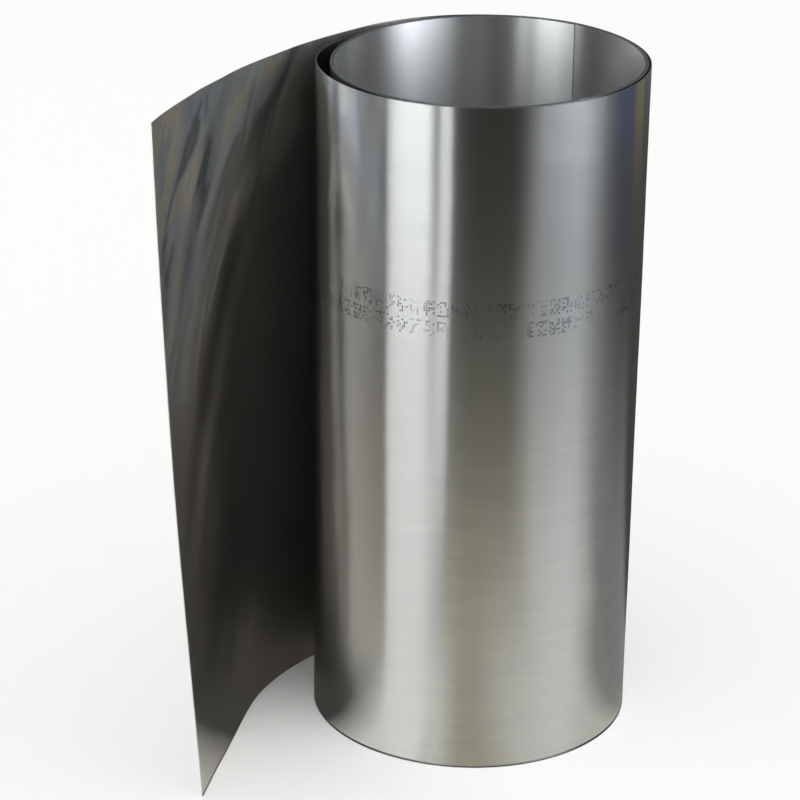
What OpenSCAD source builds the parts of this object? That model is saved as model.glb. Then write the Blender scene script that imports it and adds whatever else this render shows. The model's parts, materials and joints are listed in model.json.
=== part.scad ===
// Roll of shim stock, standing on its end.
// One long strip of thin bright metal, wound into a few tight turns round an open bore.
// Its last turn has sprung loose, and its free end stands open as a flap at the left of the roll.
// The origin is on the axis of the bore, at the floor, with +Z up along the bore.

/* [Sheet] */
// Width of the sheet, which is the height of the standing roll
sheet_width = 152.4; // [50:0.1:310]
// Thickness of the sheet
sheet_t = 0.2; // [0.12:0.01:0.5]

/* [Wound turns] */
// Diameter of the bore inside the innermost turn
bore_d = 66.1; // [40:0.1:140]
// Number of turns that are wound tight
wound_turns = 4; // [2:1:12]
// Air between one wound turn and the next
turn_gap = 0.08; // [0.06:0.01:0.3]
// How deep that air shows between the turns at each end of the roll
gap_depth = 3; // [0.5:0.5:12]

/* [Loose turn] */
// Air where the loose turn bears on the wound turns
bearing_gap = 0.08; // [0.06:0.01:0.5]
// Direction in which the loose turn bears on the wound turns, in degrees from +X
bearing_deg = -10; // [-80:1:30]
// How far the middle of the loose turn stands off the axis of the bore
loose_shift = 1.4; // [0.6:0.05:4]
// Direction at which the loose turn lifts off the wound turns
lift_deg = 140; // [110:1:160]
// Angle over which it rises to its full radius
lift_sweep = 50; // [30:1:90]

/* [Flap] */
// Length of the flap, from where its lower edge leaves the roll to its free edge
flap_len = 100.5; // [20:0.5:200]
// Direction at which the lower edge leaves the roll
lower_leave_deg = 111.5; // [95:0.5:130]
// How much wider than the loose turn the lower edge springs open
lower_spring = 24; // [5:0.5:120]
// Angle through which the lower edge still curls before it runs straight
lower_curl_deg = 58.5; // [10:0.5:80]
// Direction at which the upper edge leaves the roll
upper_leave_deg = 136.5; // [95:0.5:150]
// How much wider than the loose turn the upper edge springs open
upper_spring = 130; // [20:1:300]
// Angle through which the upper edge still curls before it runs straight
upper_curl_deg = 32; // [5:1:60]

/* [Hidden] */
// Length of sheet between two stations of the swept strip
station_step = 2.4;
$fn = 180;

bore_r = bore_d / 2;
turn_pitch = sheet_t + turn_gap;
wound_r = bore_r + wound_turns * turn_pitch - turn_gap;
// Middle line of the loose turn: a circle that bears on the wound turns from outside
loose_r = wound_r + bearing_gap + sheet_t / 2 + loose_shift;
loose_centre = -loose_shift * unit(bearing_deg);
// At its root the loose turn is let in to half its thickness, where the sheet comes out of the wound turns
root_depth = bearing_gap + sheet_t / 2 + loose_shift * (1 - cos(lift_deg - bearing_deg));
// Length along the loose sheet, from its root to where its lower edge leaves the roll and to the free edge
roll_len = arc_len(360 + lower_leave_deg - lift_deg, loose_r);
loose_len = roll_len + flap_len;
stations = ceil(loose_len / station_step);

function unit(deg) = [cos(deg), sin(deg)];
function arc_len(deg, r) = r * deg * PI / 180;
function arc_deg(len, r) = len / r * 180 / PI;

// How far the sheet still lies under the loose circle, at an angle from its root
function tuck(deg) = deg < lift_sweep ? root_depth * pow(1 - deg / lift_sweep, 2) : 0;

// Place on the loose turn at an angle from its root, as [point, direction of its outer face]
function on_turn(deg) = [
    loose_centre + (loose_r - tuck(deg)) * unit(lift_deg + deg),
    lift_deg + deg
];

// Place on the flap, a length past where the edge leaves the roll: a wide bend, then straight
function on_flap(len, leave_deg, spring, curl_deg) =
    let (
        bend_r = loose_r + spring,
        bend_len = arc_len(curl_deg, bend_r),
        facing = leave_deg + arc_deg(min(len, bend_len), bend_r),
        bend_centre = loose_centre + (loose_r - bend_r) * unit(leave_deg),
        straight = max(0, len - bend_len)
    )
    [bend_centre + bend_r * unit(facing) + straight * unit(facing + 90), facing];

// Place on one edge of the sheet at a length from the root
function on_edge(len, leave_deg, spring, curl_deg) =
    let (leave_len = arc_len(360 + leave_deg - lift_deg, loose_r))
    len < leave_len
        ? on_turn(arc_deg(len, loose_r))
        : on_flap(len - leave_len, leave_deg, spring, curl_deg);

// Point on the inner (side -1) or outer (side 1) face of the sheet, at a height
function face_point(place, side, z) =
    let (p = place[0] + side * sheet_t / 2 * unit(place[1]))
    [p[0], p[1], z];

// Four corners of the strip at a length from its root
function station(len) =
    let (
        lower = on_edge(len, lower_leave_deg, lower_spring, lower_curl_deg),
        upper = on_edge(len, upper_leave_deg, upper_spring, upper_curl_deg)
    )
    [
        face_point(lower, -1, 0),
        face_point(lower, 1, 0),
        face_point(upper, 1, sheet_width),
        face_point(upper, -1, sheet_width)
    ];

// Half of the wound turns' section: one wall, with the air between its turns open at both ends
module wound_section() {
    difference() {
        translate([bore_r, 0])
            square([wound_r - bore_r, sheet_width]);
        for (turn = [1 : wound_turns - 1], end = [0, sheet_width])
            translate([bore_r + turn * turn_pitch - turn_gap, end - gap_depth])
                square([turn_gap, 2 * gap_depth]);
    }
}

module wound_turns_wall() {
    rotate_extrude()
        wound_section();
}

// The loose turn and the flap, swept through its stations
module loose_sheet() {
    corners = [for (i = [0 : stations]) each station(loose_len * i / stations)];
    last = 4 * stations;
    sides = [
        for (i = [0 : stations - 1], k = [0 : 3])
            let (a = 4 * i + k, b = 4 * i + (k + 1) % 4)
            each [[a, b, b + 4], [a, b + 4, a + 4]]
    ];
    ends = [[3, 2, 1, 0], [last, last + 1, last + 2, last + 3]];
    polyhedron(corners, concat(sides, ends));
}

module shim_roll() {
    color("#a7a9a8") {
        wound_turns_wall();
        loose_sheet();
    }
}

shim_roll();
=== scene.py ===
import bpy
import json
import math
import numpy as np
from mathutils import Matrix, Vector


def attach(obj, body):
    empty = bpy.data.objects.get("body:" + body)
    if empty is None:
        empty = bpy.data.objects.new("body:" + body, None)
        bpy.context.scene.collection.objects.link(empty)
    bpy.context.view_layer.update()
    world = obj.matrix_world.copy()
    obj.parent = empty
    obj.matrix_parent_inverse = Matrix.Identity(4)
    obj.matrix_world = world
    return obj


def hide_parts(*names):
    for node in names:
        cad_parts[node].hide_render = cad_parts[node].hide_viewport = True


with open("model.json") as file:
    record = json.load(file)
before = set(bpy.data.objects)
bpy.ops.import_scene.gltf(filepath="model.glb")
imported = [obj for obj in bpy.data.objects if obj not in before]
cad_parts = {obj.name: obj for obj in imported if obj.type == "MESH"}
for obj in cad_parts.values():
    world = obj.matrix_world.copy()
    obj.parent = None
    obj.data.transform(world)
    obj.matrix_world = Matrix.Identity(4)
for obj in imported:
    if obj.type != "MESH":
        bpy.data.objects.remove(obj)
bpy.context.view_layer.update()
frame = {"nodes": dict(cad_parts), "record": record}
mm = 0.001
scene = bpy.context.scene
scene.view_settings.view_transform = "Standard"
print("frame loaded, nodes:", sorted(frame["nodes"]))


# sRGB hex to the linear colour that the nodes want
def linear(hexText):
    parts = [int(hexText[i:i + 2], 16) / 255 for i in (0, 2, 4)]
    return tuple(c / 12.92 if c <= 0.04045 else ((c + 0.055) / 1.055) ** 2.4 for c in parts) + (1.0,)


# one node with its settings, its fixed inputs and its links
def addNode(tree, kind, inputs=None, **settings):
    node = tree.nodes.new(kind)
    for name, value in settings.items():
        setattr(node, name, value)
    for socket, value in (inputs or {}).items():
        if isinstance(value, bpy.types.NodeSocket):
            tree.links.new(value, node.inputs[socket])
        else:
            node.inputs[socket].default_value = value
    return node


def newMaterial(name):
    made = bpy.data.materials.new(name)
    made.use_nodes = True
    made.node_tree.nodes.clear()
    return made, made.node_tree


# camera at the photograph's viewing angle, in millimetres and degrees
cameraView = {
    "place": (-3.73, -648.69, 343.86),
    "lookDown": 22.649,
    "turnLeft": 1.2625,
    "roll": 0.7535,
    "lens": 141.82,
    "sensor": 36.0,
    "clip": (0.01, 50),    # metres
}
cameraData = bpy.data.cameras.new("photoCamera")
cameraData.lens = cameraView["lens"]
cameraData.sensor_width = cameraView["sensor"]
cameraData.clip_start, cameraData.clip_end = cameraView["clip"]
photoCamera = bpy.data.objects.new("photoCamera", cameraData)
photoCamera.matrix_world = (
    Matrix.Translation(Vector(cameraView["place"]) * mm)
    @ Matrix.Rotation(math.radians(cameraView["turnLeft"]), 4, "Z")
    @ Matrix.Rotation(math.radians(90 - cameraView["lookDown"]), 4, "X")
    @ Matrix.Rotation(math.radians(cameraView["roll"]), 4, "Z")
)
scene.collection.objects.link(photoCamera)
scene.camera = photoCamera
print("camera placed")

# the sheet, in millimetres and degrees: wound turns, one loosened turn, then the free flap
bore = next(m for m in frame["record"]["mounts"] if m["name"] == "bore")["dims"]
sheetSize = {
    "width": bore["length_mm"],
    "thick": 0.2,
    "boreRadius": bore["r_mm"],
    "innerEnd": 55.8,         # where the sheet starts inside the bore
    "woundTurns": 4,          # whole turns between the inner end and the lift
    "bearing": -10.0,         # where the loose turn still leans on the wound ones
    "bearingGap": 0.08,
    "woundRadius": 34.09,
    "looseShift": 1.4,
    "lift": 140.0,            # where the outer turn leaves the wound ones
    "liftSweep": 50.0,
    "flapLength": 101.9,
    "lowerLeave": 110.0,      # where the lower edge leaves the roll, how it opens, how far it curls
    "lowerSpring": 24.0,
    "lowerCurl": 60.2,
    "upperLeave": 138.3,      # and the upper edge
    "upperSpring": 141.5,
    "upperCurl": 32.0,
    "ovalLong": 240.0,        # the wound turns are a little oval at the top, long this way
    "ovalBy": (1.0, 0.5),
    "ovalFill": (340.0, 1.0, 3.5),    # and fuller at the right: where, by how much, how sharply
    "backHug": 1.4,           # how far the loose turn lies in at the back of the top
    "backSweep": (270.0, 320.0, 335.0, 400.0),     # degrees from the lift: in from, to, out from, to
    "rightEase": 0.3,         # and stands off at the right
    "rightSweep": (140.0, 180.0, 215.0, 255.0),
    "freeBow": 1.1,           # outward bow of the free edge
    "bowLength": 90.0,        # it builds up over this much of the flap
    "rippleLength": 45.0,     # so do the waves of the flap
    "rippleEnd": 16.0,        # which die out again this far from the free edge
    "rippleLow": 0.35,        # share of the waves that is left low on the flap
    "rippleRise": (0.3125, 0.9375),    # shares of the height between which they grow to the whole
    "turnSweep": 60.0,        # degrees over which the waves of the loose turn build up
    "turnStep": 5.0,          # degrees between stations on the wound turns
    "looseStep": 1.6,         # millimetres between stations on the loose part
    "levels": 81,
    "sharp": 50.0,            # edges that turn more than this stay crisp
    "innerShift": 500.0,      # the inner face lies this much further up the map, to tell it apart
}
sheetSize["looseRadius"] = (
    sheetSize["woundRadius"] + sheetSize["bearingGap"] + sheetSize["thick"] / 2 + sheetSize["looseShift"])
# slow waves left in the sheet by handling: height, spacing along, spacing down, phase
flapWaves = [
    (0.10, 37.0, -52.0, 0.6),
    (0.07, 21.0, -33.0, 2.1),
    (0.04, 12.5, -21.0, 4.0),
    (0.03, 19.0, 64.0, 1.2),
]
turnWaves = [
    (0.006, 46.0, 14.5, 0.4),
    (0.004, 31.0, -9.8, 2.6),
    (0.030, 70.0, 61.0, 3.0),
]


def unit(deg):
    turn = np.radians(deg)
    return np.stack([np.cos(turn), np.sin(turn)], -1)


def smoothStep(x, low=0.0, high=1.0):
    x = np.clip((x - low) / (high - low), 0, 1)
    return x * x * (3 - 2 * x)


def rippled(waves, along, up):
    return sum(h * np.sin(2 * math.pi * (along / a + up / u) + phase) for h, a, u, phase in waves)


# length along the loose part, from the lift to where an edge leaves the roll
def leaveAt(leave, size):
    return math.radians(360 + leave - size["lift"]) * size["looseRadius"]


# one long edge of the loose part: places in plan at these lengths from the lift
def looseEdge(lengths, edge, size):
    leave, spring, curl = (size[edge + part] for part in ("Leave", "Spring", "Curl"))
    looseRadius = size["looseRadius"]
    centre = -size["looseShift"] * unit(size["bearing"])
    fromBearing = math.radians(size["lift"] - size["bearing"])
    rootDepth = size["bearingGap"] + size["thick"] / 2 + size["looseShift"] * (1 - math.cos(fromBearing))
    leaveLength = leaveAt(leave, size)
    turned = np.degrees(np.minimum(lengths, leaveLength) / looseRadius)
    tuck = rootDepth * (1 - smoothStep(turned / size["liftSweep"]))
    onTurn = centre + (looseRadius - tuck)[:, None] * unit(size["lift"] + turned)
    bendRadius = looseRadius + spring
    beyond = np.maximum(lengths - leaveLength, 0)
    bendLength = math.radians(curl) * bendRadius
    facing = leave + np.degrees(np.minimum(beyond, bendLength) / bendRadius)
    bendCentre = centre + (looseRadius - bendRadius) * unit(leave)
    straight = np.maximum(beyond - bendLength, 0)
    onFlap = bendCentre + bendRadius * unit(facing) + straight[:, None] * unit(facing + 90)
    return np.where((lengths < leaveLength)[:, None], onTurn, onFlap)


# how far the wound turns stand off their circle at the top rim
def ovalAt(angles, size):
    turn = np.radians(angles - size["ovalLong"])
    where, fill, sharp = size["ovalFill"]
    fuller = fill * np.maximum(np.cos(np.radians(angles - where)), 0) ** sharp
    return size["ovalBy"][0] * np.cos(2 * turn) + size["ovalBy"][1] * np.cos(turn) + fuller


# the middle of the sheet's thickness: places, lengths along it and heights
def sheetSurface(size):
    heights = np.linspace(0, size["width"], size["levels"])
    up = heights / size["width"]
    # wound turns, a spiral from the bore out to the lift
    rootPlace = looseEdge(np.zeros(1), "lower", size)[0]
    rootRadius = float(np.hypot(*rootPlace))
    rootAngle = math.degrees(math.atan2(rootPlace[1], rootPlace[0])) + 360 * size["woundTurns"]
    startRadius = size["boreRadius"] + size["thick"] / 2
    count = int(round((rootAngle - size["innerEnd"]) / size["turnStep"]))
    angles = np.linspace(size["innerEnd"], rootAngle, count, endpoint=False)
    part = (angles - size["innerEnd"]) / (rootAngle - size["innerEnd"])
    radii = startRadius + (rootRadius - startRadius) * part
    settled = radii[:, None] + ovalAt(angles, size)[:, None] * smoothStep(up)[None, :]
    wound = np.zeros((len(angles), size["levels"], 3))
    wound[:, :, :2] = settled[:, :, None] * unit(angles)[:, None, :]
    wound[:, :, 2] = heights
    # loose turn and flap, ruled between the lower and the upper edge
    looseLength = leaveAt(size["lowerLeave"], size) + size["flapLength"]
    lengths = np.linspace(0, looseLength, int(round(looseLength / size["looseStep"])) + 1)
    lower = looseEdge(lengths, "lower", size)
    upper = looseEdge(lengths, "upper", size)
    loose = np.zeros((len(lengths), size["levels"], 3))
    loose[:, :, :2] = lower[:, None, :] * (1 - up)[None, :, None] + upper[:, None, :] * up[None, :, None]
    loose[:, :, 2] = heights
    alongWay = np.gradient(loose[:, :, :2], axis=0)
    alongWay /= np.linalg.norm(alongWay, axis=2, keepdims=True)
    outWay = np.stack([alongWay[:, :, 1], -alongWay[:, :, 0]], -1)
    # where it lies on the wound turns, stands off them, bows and ripples
    turned = np.degrees(lengths / size["looseRadius"])
    onFlap = lengths - leaveAt(size["upperLeave"], size)
    hug, ease = (
        smoothStep(turned, *size[sweep][:2]) * (1 - smoothStep(turned, *size[sweep][2:]))
        for sweep in ("backSweep", "rightSweep"))
    root = 1 - smoothStep(turned / size["liftSweep"])
    rootOval = ovalAt(np.degrees(np.arctan2(upper[:, 1], upper[:, 0])), size) * root
    atTop = rootOval - size["backHug"] * hug + size["rightEase"] * ease
    offset = atTop[:, None] * smoothStep(up)[None, :]
    bow = size["freeBow"] * smoothStep(onFlap / size["bowLength"]) ** 2
    offset += bow[:, None] * np.sin(math.pi * up)[None, :]
    fromTop = (size["width"] - heights)[None, :]
    rippleDown = size["rippleLow"] + (1 - size["rippleLow"]) * smoothStep(up, *size["rippleRise"])
    fadeOut = 1 - smoothStep(lengths, looseLength - size["rippleEnd"], looseLength)
    rippleAlong = smoothStep(onFlap / size["rippleLength"]) * fadeOut
    offset += rippled(flapWaves, onFlap[:, None], fromTop) * rippleAlong[:, None] * rippleDown[None, :]
    offset += rippled(turnWaves, lengths[:, None], fromTop) * smoothStep(turned / size["turnSweep"])[:, None]
    loose[:, :, :2] += offset[:, :, None] * outWay
    surface = np.concatenate([wound, loose])
    woundLength = np.concatenate([[0], np.cumsum(np.hypot(*np.diff(wound[:, 0, :2], axis=0).T))])
    along = np.concatenate([woundLength, woundLength[-1] + size["looseStep"] + lengths])
    return surface, along, heights


# thickens the surface to a closed sheet, with u up the sheet and v along it
def buildSheet(name, size):
    surface, along, heights = sheetSurface(size)
    stations, levels = surface.shape[:2]
    normal = np.cross(np.gradient(surface, axis=0), np.gradient(surface, axis=1))
    normal /= np.linalg.norm(normal, axis=2, keepdims=True)
    half = size["thick"] / 2
    outer = (surface + normal * half).reshape(-1, 3)
    inner = (surface - normal * half).reshape(-1, 3)
    points = np.concatenate([outer, inner]) * mm
    points[:, 2] = np.clip(points[:, 2], 0, size["width"] * mm)
    side = stations * levels
    grid = np.arange(side).reshape(stations, levels)
    back = grid + side
    outerQuads = np.stack([grid[:-1, :-1], grid[1:, :-1], grid[1:, 1:], grid[:-1, 1:]], -1).reshape(-1, 4)
    quads = [
        outerQuads,
        outerQuads[:, [0, 3, 2, 1]] + side,
        np.stack([grid[:-1, -1], grid[1:, -1], back[1:, -1], back[:-1, -1]], -1),    # upper edge
        np.stack([back[:-1, 0], back[1:, 0], grid[1:, 0], grid[:-1, 0]], -1),        # lower edge
        np.stack([grid[0, :-1], grid[0, 1:], back[0, 1:], back[0, :-1]], -1),        # inner end
        np.stack([back[-1, :-1], back[-1, 1:], grid[-1, 1:], grid[-1, :-1]], -1),    # free end
    ]
    faces = np.concatenate(quads)
    mesh = bpy.data.meshes.new(name)
    mesh.from_pydata(points.tolist(), [], faces.tolist())
    # the strip map, in metres; the cut edges get their thickness on it
    stripU = np.tile(heights * mm, (stations, 1)).reshape(-1)
    stripV = np.repeat(along * mm, levels)
    corner = np.empty(len(mesh.loops), dtype=np.int64)
    mesh.loops.foreach_get("vertex_index", corner)
    flat = corner % side
    onBack = corner >= side
    faceOfCorner = np.repeat(np.arange(len(faces)), 4)
    edgeFrom = len(quads[0]) + len(quads[1])
    isEdge = faceOfCorner >= edgeFrom
    isLong = isEdge & (faceOfCorner < edgeFrom + len(quads[2]) + len(quads[3]))
    u = stripU[flat] + np.where(isLong & onBack, size["thick"] * mm, 0)
    u += np.where(onBack & ~isEdge, size["innerShift"] * mm, 0)
    v = stripV[flat] + np.where(isEdge & ~isLong & onBack, size["thick"] * mm, 0)
    layer = mesh.uv_layers.new(name="stripMap")
    layer.uv.foreach_set("vector", np.stack([u, v], -1).astype(np.float32).ravel())
    mesh.shade_smooth()
    mesh.set_sharp_from_angle(angle=math.radians(size["sharp"]))
    mesh.update()
    made = bpy.data.objects.new(name, mesh)
    scene.collection.objects.link(made)
    print(name, "triangles:", 2 * len(faces), "length of sheet, mm:", round(float(along[-1])))
    return made, float(along[-1])


shimSheet, sheetEnd = buildSheet("shimSheet", sheetSize)

# bright cold-rolled steel strip: the rolls leave fine lines along it, so lights smear up and down
# into tall bands; handling leaves faint smudges, and a printer left two rows of worn ink dots
stripFinish = {
    "steel": "cbccca",
    "smudged": "c6c7c6",
    "roughness": (0.176, 0.19),
    "anisotropy": 0.93,
    # noises stretched over the sheet: millimetres up, millimetres along, detail, shift
    "patterns": {
        "rollLines": (0.9, 45.0, 3.0, 3.1),     # real ones are finer, drawn coarser to show
        "smudges": (3.4, 17.0, 4.0, 11.3),
        "waves": (7.0, 24.0, 2.0, 23.9),        # what is left of the coiling
        "wear": (11.0, 9.0, 2.0, 57.0),         # where the ink has rubbed off
    },
    "patternGrain": 0.55,
    "patternSkew": 1.7,           # the shift along is this many times the one up
    "smudgeTone": (0.35, 0.7),    # levels of the noise between which the tone goes from clean to smudged
    "smudgeRough": (0.3, 0.7),    # and the roughness
    "lineLevel": (0.3, 0.7),
    "lineTone": (0.985, 1.015),   # lighter and darker by this much along the roll lines
    "waveDepth": 0.0004,          # millimetres
    "lineDepth": 0.0001,          # millimetres
    "boreRough": 0.12,            # more on the first turn, scuffed on the mandrel
    "boreTone": 0.74,             # and duller
    "boreHaze": 0.20,             # share of plain matt scatter there
    "boreTurn": (215.0, 260.0),   # millimetres along, where that ends
    "film": [                     # painted reflection streaks, darker and lighter, olive and bluish, on the inner face near the free end
        (0.36, "8a8b8d"),
        (0.41, "b2b7be"),
        (0.53, "c4c8cd"),
        (0.565, "cfc8b6"),
        (0.63, "d5cebc"),
        (0.67, "b9bec4"),
    ],
    "paintedDeepShade": "c0bbb4",         # and browner painted shade deeper in, low on the flap towards the nook
    "filmRough": 0.05,
    "endHaze": (0.05, 0.09),     # matt scatter deep in and at the free end
    "hazeDeep": (5.0, 45.0),      # millimetres from the free end, where the deep haze builds up
    "paintReach": (85.0, 125.0),   # millimetres from the free end, where all the painted shade and reflection streaks end
    "streakSize": (36.0, 8.5, 150.0),   # millimetres along and across a streak, and its slant in degrees
    "streakGrain": (3.0, 0.5, 0.9),       # detail, roughness and distortion of the streaks
    "shadeSlope": (88.0, 1.0),     # millimetres up at the free end, and rise for each one in from it
    "streakRagged": 70.0,           # millimetres that the streaks push that line up and down
    "sheenEdge": (22.0, 46.0),     # millimetres above it, where the lighter painted reflection streaks set in
    "ink": "3c414c",
    "inkRough": 0.24,
    "inkRows": (108.25, 103.75),  # millimetres up the sheet
    "inkDot": 0.50,               # millimetres between dots
    "inkHalf": 3.5,               # dots from the middle of a row to its rim
    "inkCell": 6,                 # dots to a mark, the last one left open
    "inkShare": 0.42,             # share of the dots that is printed
    "inkSpread": (0.28, 0.56),    # shares of the spacing over which a dot thins out
    "inkWear": (0.38, 0.58, 0.92),      # noise levels from bare to full, and how dark full is
}


def coldRolledStrip(look, size, sheetEnd):
    made, tree = newMaterial("coldRolledSteelStrip")
    stripMap = addNode(tree, "ShaderNodeUVMap", uv_map="stripMap")
    inMm = addNode(tree, "ShaderNodeVectorMath", {
        0: stripMap.outputs["UV"], "Scale": 1 / mm}, operation="SCALE")
    level = addNode(tree, "ShaderNodeSeparateXYZ", {"Vector": inMm.outputs[0]})    # X up, Y along
    fromEnd = addNode(tree, "ShaderNodeMath", {0: sheetEnd, 1: level.outputs["Y"]}, operation="SUBTRACT")
    innerFace = addNode(tree, "ShaderNodeMath", {
        0: level.outputs["X"], 1: size["innerShift"] - size["width"]}, operation="GREATER_THAN")
    noise = {}
    for name, (upMm, alongMm, detail, shift) in look["patterns"].items():
        place = addNode(tree, "ShaderNodeMapping", {
            "Vector": inMm.outputs[0],
            "Location": (shift, shift * look["patternSkew"], 0),
            "Scale": (1 / upMm, 1 / alongMm, 1)})
        noise[name] = addNode(tree, "ShaderNodeTexNoise", {
            "Vector": place.outputs["Vector"], "Scale": 1.0,
            "Detail": detail, "Roughness": look["patternGrain"]}).outputs["Fac"]

    # worn ink: dots on a fine grid, kept where a white noise says so, in rows a few dots high
    dots = addNode(tree, "ShaderNodeVectorMath", {
        0: inMm.outputs[0], "Scale": 1 / look["inkDot"]}, operation="SCALE")
    dotCell = addNode(tree, "ShaderNodeVectorMath", {0: dots.outputs[0]}, operation="FLOOR")
    inCell = addNode(tree, "ShaderNodeVectorMath", {0: dots.outputs[0]}, operation="FRACTION")
    fromDot = addNode(tree, "ShaderNodeVectorMath", {
        0: inCell.outputs[0], 1: (0.5, 0.5, 0)}, operation="DISTANCE")
    dotShape = addNode(tree, "ShaderNodeMapRange", {
        "Value": fromDot.outputs["Value"],
        "From Min": look["inkSpread"][1], "From Max": look["inkSpread"][0]})
    chance = addNode(tree, "ShaderNodeTexWhiteNoise", {"Vector": dotCell.outputs[0]}, noise_dimensions="2D")
    printed = addNode(tree, "ShaderNodeMath", {
        0: chance.outputs["Value"], 1: look["inkShare"]}, operation="LESS_THAN")
    apart = addNode(tree, "ShaderNodeSeparateXYZ", {"Vector": dotCell.outputs[0]})
    column = addNode(tree, "ShaderNodeMath", {
        0: apart.outputs["Y"], 1: float(look["inkCell"])}, operation="FLOORED_MODULO")
    openGap = addNode(tree, "ShaderNodeMath", {
        0: column.outputs[0], 1: look["inkCell"] - 1.5}, operation="LESS_THAN")
    rows = None
    for rowUp in look["inkRows"]:
        fromRow = addNode(tree, "ShaderNodeMath", {0: level.outputs["X"], 1: rowUp}, operation="SUBTRACT")
        away = addNode(tree, "ShaderNodeMath", {0: fromRow.outputs[0]}, operation="ABSOLUTE")
        inRow = addNode(tree, "ShaderNodeMath", {
            0: away.outputs[0], 1: look["inkHalf"] * look["inkDot"]}, operation="LESS_THAN")
        rows = inRow if rows is None else addNode(
            tree, "ShaderNodeMath", {0: rows.outputs[0], 1: inRow.outputs[0]}, operation="MAXIMUM")
    wornAway = addNode(tree, "ShaderNodeMapRange", {
        "Value": noise["wear"], "From Min": look["inkWear"][0], "From Max": look["inkWear"][1],
        "To Max": look["inkWear"][2]})
    ink = dotShape
    for part in (printed, openGap, rows, wornAway):
        ink = addNode(tree, "ShaderNodeMath", {0: ink.outputs[0], 1: part.outputs[0]}, operation="MULTIPLY")

    # painted shade and painted reflection streaks on the inner face of the free end, lighter above a
    # slanting ragged line
    shadeLine = addNode(tree, "ShaderNodeMath", {
        0: fromEnd.outputs[0], 1: look["shadeSlope"][1],
        2: look["shadeSlope"][0] + size["innerShift"]}, operation="MULTIPLY_ADD")
    streakPlace = addNode(tree, "ShaderNodeMapping", {
        "Vector": inMm.outputs[0], "Rotation": (0, 0, math.radians(look["streakSize"][2])),
        "Scale": (look["streakSize"][0], look["streakSize"][1], 1)}, vector_type="TEXTURE")
    streaks = addNode(tree, "ShaderNodeTexNoise", {
        "Vector": streakPlace.outputs["Vector"], "Scale": 1.0, "Detail": look["streakGrain"][0],
        "Roughness": look["streakGrain"][1], "Distortion": look["streakGrain"][2]})
    ragged = addNode(tree, "ShaderNodeMath", {
        0: streaks.outputs["Fac"], 1: look["streakRagged"], 2: level.outputs["X"]}, operation="MULTIPLY_ADD")
    aboveLine = addNode(tree, "ShaderNodeMath", {
        0: ragged.outputs[0], 1: shadeLine.outputs[0]}, operation="SUBTRACT")
    sheenShare = addNode(tree, "ShaderNodeMapRange", {
        "Value": aboveLine.outputs[0], "From Min": look["sheenEdge"][0], "From Max": look["sheenEdge"][1]})
    # painted reflection: streaks of lighter and darker, olive and bluish tone in the base colour
    paintedStreaks = addNode(tree, "ShaderNodeValToRGB", {"Fac": streaks.outputs["Fac"]})
    for stopAt, tone in look["film"][1:-1]:
        paintedStreaks.color_ramp.elements.new(stopAt)
    for stop, (stopAt, tone) in zip(paintedStreaks.color_ramp.elements, look["film"]):
        stop.position = stopAt
        stop.color = linear(tone)
    # painted shade, browner, below the ragged line, and the painted reflection streaks above it
    film = addNode(tree, "ShaderNodeMix", {
        "Factor": sheenShare.outputs[0], 6: linear(look["paintedDeepShade"]), 7: paintedStreaks.outputs["Color"]},
        data_type="RGBA")
    onFreeEnd = addNode(tree, "ShaderNodeMapRange", {
        "Value": fromEnd.outputs[0], "From Min": look["paintReach"][1], "From Max": look["paintReach"][0]})
    paintedEnd = addNode(tree, "ShaderNodeMath", {
        0: innerFace.outputs[0], 1: onFreeEnd.outputs[0]}, operation="MULTIPLY")

    # scuffs on the inner face of the first turn
    firstTurn = addNode(tree, "ShaderNodeMapRange", {
        "Value": level.outputs["Y"], "From Min": look["boreTurn"][1], "From Max": look["boreTurn"][0]})
    scuffed = addNode(tree, "ShaderNodeMath", {
        0: firstTurn.outputs[0], 1: innerFace.outputs[0]}, operation="MULTIPLY")

    # colour
    smudgeTone = addNode(tree, "ShaderNodeMapRange", {
        "Value": noise["smudges"], "From Min": look["smudgeTone"][0], "From Max": look["smudgeTone"][1]})
    bare = addNode(tree, "ShaderNodeMix", {
        "Factor": smudgeTone.outputs[0], 6: linear(look["steel"]), 7: linear(look["smudged"])},
        data_type="RGBA")
    skin = addNode(tree, "ShaderNodeMix", {
        "Factor": paintedEnd.outputs[0], 6: bare.outputs[2], 7: film.outputs[2]}, data_type="RGBA")
    scuffTone = addNode(tree, "ShaderNodeMapRange", {
        "Value": scuffed.outputs[0], "To Min": 1.0, "To Max": look["boreTone"]})
    lineTone = addNode(tree, "ShaderNodeMapRange", {
        "Value": noise["rollLines"], "From Min": look["lineLevel"][0], "From Max": look["lineLevel"][1],
        "To Min": look["lineTone"][0], "To Max": look["lineTone"][1]})
    toned = addNode(tree, "ShaderNodeMath", {
        0: lineTone.outputs[0], 1: scuffTone.outputs[0]}, operation="MULTIPLY")
    lined = addNode(tree, "ShaderNodeVectorMath", {
        0: skin.outputs[2], "Scale": toned.outputs[0]}, operation="SCALE")
    colour = addNode(tree, "ShaderNodeMix", {
        "Factor": ink.outputs[0], 6: lined.outputs[0], 7: linear(look["ink"])}, data_type="RGBA")

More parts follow.
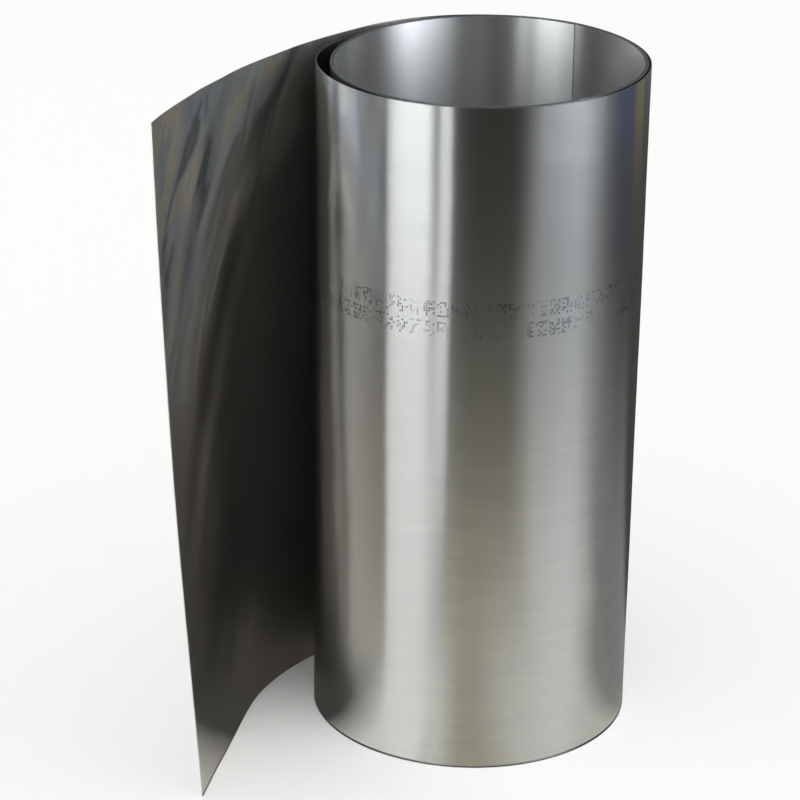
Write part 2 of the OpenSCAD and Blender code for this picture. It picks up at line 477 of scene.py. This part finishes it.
    # roughness
    bareRough = addNode(tree, "ShaderNodeMapRange", {
        "Value": noise["smudges"], "From Min": look["smudgeRough"][0], "From Max": look["smudgeRough"][1],
        "To Min": look["roughness"][0], "To Max": look["roughness"][1]})
    scuffRough = addNode(tree, "ShaderNodeMath", {
        0: scuffed.outputs[0], 1: look["boreRough"]}, operation="MULTIPLY")
    dulled = addNode(tree, "ShaderNodeMath", {
        0: paintedEnd.outputs[0], 1: sheenShare.outputs[0]}, operation="MULTIPLY")
    filmRough = addNode(tree, "ShaderNodeMath", {
        0: dulled.outputs[0], 1: look["filmRough"], 2: scuffRough.outputs[0]}, operation="MULTIPLY_ADD")
    steelRough = addNode(tree, "ShaderNodeMath", {0: bareRough.outputs[0], 1: filmRough.outputs[0]})
    rough = addNode(tree, "ShaderNodeMix", {
        "Factor": ink.outputs[0], 2: steelRough.outputs[0], 3: look["inkRough"]})

    # the haze of scuffs and of the painted free end is matt, so it takes its share from the metal
    deepHaze = addNode(tree, "ShaderNodeMapRange", {
        "Value": fromEnd.outputs[0], "From Min": look["hazeDeep"][0], "From Max": look["hazeDeep"][1],
        "To Max": look["endHaze"][0]})
    hazeShare = addNode(tree, "ShaderNodeMath", {
        0: sheenShare.outputs[0], 1: look["endHaze"][1], 2: deepHaze.outputs[0]}, operation="MULTIPLY_ADD")
    endHaze = addNode(tree, "ShaderNodeMath", {
        0: paintedEnd.outputs[0], 1: hazeShare.outputs[0]}, operation="MULTIPLY")
    haze = addNode(tree, "ShaderNodeMath", {
        0: scuffed.outputs[0], 1: look["boreHaze"], 2: endHaze.outputs[0]}, operation="MULTIPLY_ADD")
    metal = addNode(tree, "ShaderNodeMath", {0: 1.0, 1: haze.outputs[0]}, operation="SUBTRACT")

    # relief, and the direction of the roll lines
    slowRelief = addNode(tree, "ShaderNodeBump", {
        "Height": noise["waves"], "Distance": look["waveDepth"] * mm})
    relief = addNode(tree, "ShaderNodeBump", {
        "Height": noise["rollLines"], "Distance": look["lineDepth"] * mm,
        "Normal": slowRelief.outputs["Normal"]})
    stripTangent = addNode(tree, "ShaderNodeTangent", direction_type="UV_MAP", uv_map="stripMap")
    shader = addNode(tree, "ShaderNodeBsdfPrincipled", {
        "Base Color": colour.outputs[2],
        "Metallic": metal.outputs[0],
        "Roughness": rough.outputs[0],
        "Anisotropic": look["anisotropy"],
        "Normal": relief.outputs["Normal"],
        "Tangent": stripTangent.outputs["Tangent"],
    })
    addNode(tree, "ShaderNodeOutputMaterial", {"Surface": shader.outputs["BSDF"]})
    return made


shimSheet.data.materials.append(coldRolledStrip(stripFinish, sheetSize, sheetEnd))
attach(shimSheet, "root")
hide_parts("shim_roll")
print("sheet dressed")


def addPlate(name, points, faces, material):
    mesh = bpy.data.meshes.new(name)
    mesh.from_pydata(points, [], faces)
    mesh.materials.append(material)
    made = bpy.data.objects.new(name, mesh)
    scene.collection.objects.link(made)
    return made


# pale floor, one large sheet of matt uncoated paper, which scatters all light evenly; reach in metres
floorLook = {"paper": "fafaf9", "reach": 6.0}


def mattPaper(name, tone):
    made, tree = newMaterial(name)
    shader = addNode(tree, "ShaderNodeBsdfDiffuse", {"Color": linear(tone)})
    addNode(tree, "ShaderNodeOutputMaterial", {"Surface": shader.outputs["BSDF"]})
    return made


reach = floorLook["reach"]
addPlate("floor", [(-reach, -reach, 0), (reach, -reach, 0), (reach, reach, 0), (-reach, reach, 0)],
         [(0, 1, 2, 3)], mattPaper("paleBackdropPaper", floorLook["paper"]))
print("floor laid")

# table cards, flags and light panels that only the metal sees: degrees from the camera, right positive,
# then the near and the far edge as distance out and height in metres, so a table card lies flat
# soft is how many degrees each end fades, fade where the card thins out from its near edge to its far one
panelSteps = 48      # flat pieces to a card
panelHair = 0.0001   # keeps a fade of no width from being divided by nothing
panelRing = [
    # the lying table cards glow with painted light and shade of the table for the metal to reflect, while
    # the floor itself is evenly pale; this first one is painted shade, the whole table darker in the metal
    {"name": "shadedTable", "arc": (-180, 180), "soft": (0, 0),
     "near": (0.02, 0.0001), "far": (1.7, 0.0001), "tone": "484846"},
    # painted shade of the nook between the flap and the roll
    {"name": "nookShade", "arc": (-182, -66), "soft": (14, 26),
     "near": (0.03, 0.0002), "far": (0.12, 0.0002), "fade": (0.4, 1.0), "tone": "46443f"},
    # painted light falling on the table at the right
    {"name": "rightLightPool", "arc": (22, 112), "soft": (14, 42),
     "near": (0.09, 0.0002), "far": (0.42, 0.0002), "fade": (0.1, 0.9), "tone": "d0cfca"},
    # painted shadow of the roll on the table at the right
    {"name": "sideShadow", "arc": (80, 134), "soft": (10, 10),
     "near": (0.03, 0.0003), "far": (0.3, 0.0003), "fade": (0.3, 1.0), "tone": "8e8e8c"},
    # painted shade on the table in front
    {"name": "frontShade", "arc": (-24, 42), "soft": (8, 16),
     "near": (0.03, 0.0004), "far": (0.34, 0.0004), "fade": (0.3, 0.8), "tone": "b8b3a1"},
    # painted pools of light on the table at the left, near and far
    {"name": "leftLightPool", "arc": (-74, -16), "soft": (14, 12),
     "near": (0.085, 0.0005), "far": (0.5, 0.0005), "fade": (0.4, 1.0), "tone": "e8e8e5"},
    {"name": "leftFar", "arc": (-74, -30), "soft": (14, 5),
     "near": (0.35, 0.0004), "far": (1.6, 0.0004), "tone": "fbfcff"},
    {"name": "slatFar", "arc": (-27, -17), "soft": (1, 3),
     "near": (0.2, 0.0004), "far": (1.6, 0.0004), "tone": "d8d9dc"},
    {"name": "nearLeft", "arc": (-66, -6), "soft": (22, 18),
     "near": (0.03, 0.0006), "far": (0.11, 0.0006), "fade": (0.6, 1.0), "tone": "f0efea"},
    # painted light on the table near the right
    {"name": "nearRight", "arc": (2, 92), "soft": (16, 30),
     "near": (0.03, 0.0007), "far": (0.13, 0.0007), "fade": (0.5, 1.0), "tone": "d6d4cc"},
    {"name": "frontFlag", "arc": (-19, 40), "soft": (2, 16),
     "near": (0.36, 0), "far": (0.36, 0.8), "tone": "2e2e2d"},
    {"name": "rightCard", "arc": (24, 104), "soft": (16, 20),
     "near": (0.45, 0), "far": (0.45, 0.16), "tone": "82848a"},
    {"name": "rightFlag", "arc": (86, 124), "soft": (14, 2),
     "near": (0.46, 0), "far": (0.46, 0.8), "tone": "5e627a"},
    {"name": "oliveCard", "arc": (122, 141), "soft": (2, 2),
     "near": (0.47, 0), "far": (0.47, 0.9), "tone": "8a8470"},
    {"name": "backFlag", "arc": (139, 204), "soft": (2, 6),
     "near": (0.48, 0), "far": (0.48, 0.9), "tone": "62666c"},
    {"name": "leftFlag", "arc": (-126, -75), "soft": (8, 2),
     "near": (0.45, 0), "far": (0.45, 0.9), "tone": "5e5e5a"},
    # painted light on the table behind at the left
    {"name": "backLightPool", "arc": (-168, -120), "soft": (14, 18),
     "near": (0.12, 0.0003), "far": (0.5, 0.0003), "fade": (0.3, 1.0), "tone": "d8d8d4"},
    {"name": "backPanel", "arc": (-158, -120), "soft": (6, 14),
     "near": (1.6, 0.1), "far": (1.6, 1.0), "tone": "f8fcff", "glow": 5},
    {"name": "leftSlat", "arc": (-77, -65), "soft": (7, 1),
     "near": (1.6, 0.1), "far": (1.6, 1.0), "tone": "f8fcff", "glow": 5},
    {"name": "leftPanel", "arc": (-62, -29.5), "soft": (4, 5),
     "near": (1.6, 0.1), "far": (1.6, 1.0), "tone": "f8fcff", "glow": 12},
    {"name": "innerSlat", "arc": (-27, -10), "soft": (1, 11),
     "near": (1.6, 0.1), "far": (1.6, 1.0), "tone": "f8fcff", "glow": 8},
    {"name": "rightPanel", "arc": (27, 95), "soft": (40, 24),
     "near": (1.6, 0.15), "far": (1.6, 1.1), "tone": "f0f5ff", "glow": 17},
    {"name": "rightHigh", "arc": (82, 122), "soft": (10, 16),
     "near": (1.7, 0.9), "far": (1.7, 2.2), "tone": "f0f5ff", "glow": 4},
]


# card or panel that glows with its tone, painted light and shade for the metal to reflect, thinned to
# nothing at its soft ends
def glowCard(panel):
    made, tree = newMaterial(panel["name"])
    across = addNode(tree, "ShaderNodeUVMap", uv_map="across")
    place = addNode(tree, "ShaderNodeSeparateXYZ", {"Vector": across.outputs["UV"]})
    wide = panel["arc"][1] - panel["arc"][0]
    fullTo, clearFrom = panel.get("fade", (1.0, 1.0 + panelHair))
    edges = [
        ("X", -panelHair, panel["soft"][0] / wide),
        ("X", 1 + panelHair, 1 - panel["soft"][1] / wide),
        ("Y", clearFrom + panelHair, fullTo),
    ]
    cover = None
    for way, clearAt, fullAt in edges:
        edge = addNode(tree, "ShaderNodeMapRange", {
            "Value": place.outputs[way], "From Min": clearAt, "From Max": fullAt})
        cover = edge if cover is None else addNode(
            tree, "ShaderNodeMath", {0: cover.outputs[0], 1: edge.outputs[0]}, operation="MULTIPLY")
    clear = addNode(tree, "ShaderNodeBsdfTransparent")
    face = addNode(tree, "ShaderNodeEmission", {
        "Color": linear(panel["tone"]), "Strength": panel.get("glow", 1.0)})
    both = addNode(tree, "ShaderNodeMixShader", {
        0: cover.outputs[0], 1: clear.outputs[0], 2: face.outputs[0]})
    addNode(tree, "ShaderNodeOutputMaterial", {"Surface": both.outputs[0]})
    return made


def addPanel(panel):
    turns = np.radians(np.linspace(*panel["arc"], panelSteps + 1))
    plan = np.stack([np.sin(turns), -np.cos(turns)], -1)
    points = [(x * out, y * out, rise) for out, rise in (panel["near"], panel["far"]) for x, y in plan]
    faces = [(i, i + 1, i + 2 + panelSteps, i + 1 + panelSteps) for i in range(panelSteps)]
    thing = addPlate(panel["name"], points, faces, glowCard(panel))
    layer = thing.data.uv_layers.new(name="across")
    for loop in thing.data.loops:
        row, column = divmod(loop.vertex_index, panelSteps + 1)
        layer.uv[loop.index].vector = (column / panelSteps, row)
    thing.visible_camera = False
    thing.visible_diffuse = False
    thing.visible_shadow = False
    thing.visible_transmission = False


for panel in panelRing:
    addPanel(panel)
print("cards and panels set:", len(panelRing))

# one large soft box overhead gives the floor its soft shadow
lampLook = {"place": (-0.5, -0.4, 2.4), "side": 2.2, "power": 10.0}
boxData = bpy.data.lights.new("overheadBox", "AREA")
boxData.shape = "SQUARE"
boxData.size = lampLook["side"]
boxData.energy = lampLook["power"]
overheadBox = bpy.data.objects.new("overheadBox", boxData)
overheadBox.location = lampLook["place"]
overheadBox.rotation_mode = "QUATERNION"
overheadBox.rotation_quaternion = Vector(lampLook["place"]).to_track_quat("Z", "Y")
scene.collection.objects.link(overheadBox)

# the world is white where it is seen, also in the metal, and a plain level otherwise
worldLook = {"seen": "fafaf9", "lighting": 0.95}
world = bpy.data.worlds.new("studio")
scene.world = world
world.use_nodes = True
worldTree = world.node_tree
worldTree.nodes.clear()
path = addNode(worldTree, "ShaderNodeLightPath")
seen = addNode(worldTree, "ShaderNodeMath", {
    0: path.outputs["Is Camera Ray"], 1: path.outputs["Is Glossy Ray"]}, operation="MAXIMUM")
seenAll = addNode(worldTree, "ShaderNodeMath", {
    0: seen.outputs[0], 1: path.outputs["Is Transmission Ray"]}, operation="MAXIMUM")
strength = addNode(worldTree, "ShaderNodeMapRange", {
    "Value": seenAll.outputs[0], "To Min": worldLook["lighting"], "To Max": 1.0})
sky = addNode(worldTree, "ShaderNodeBackground", {
    "Color": linear(worldLook["seen"]), "Strength": strength.outputs["Result"]})
addNode(worldTree, "ShaderNodeOutputWorld", {"Surface": sky.outputs["Background"]})
print("stage set")
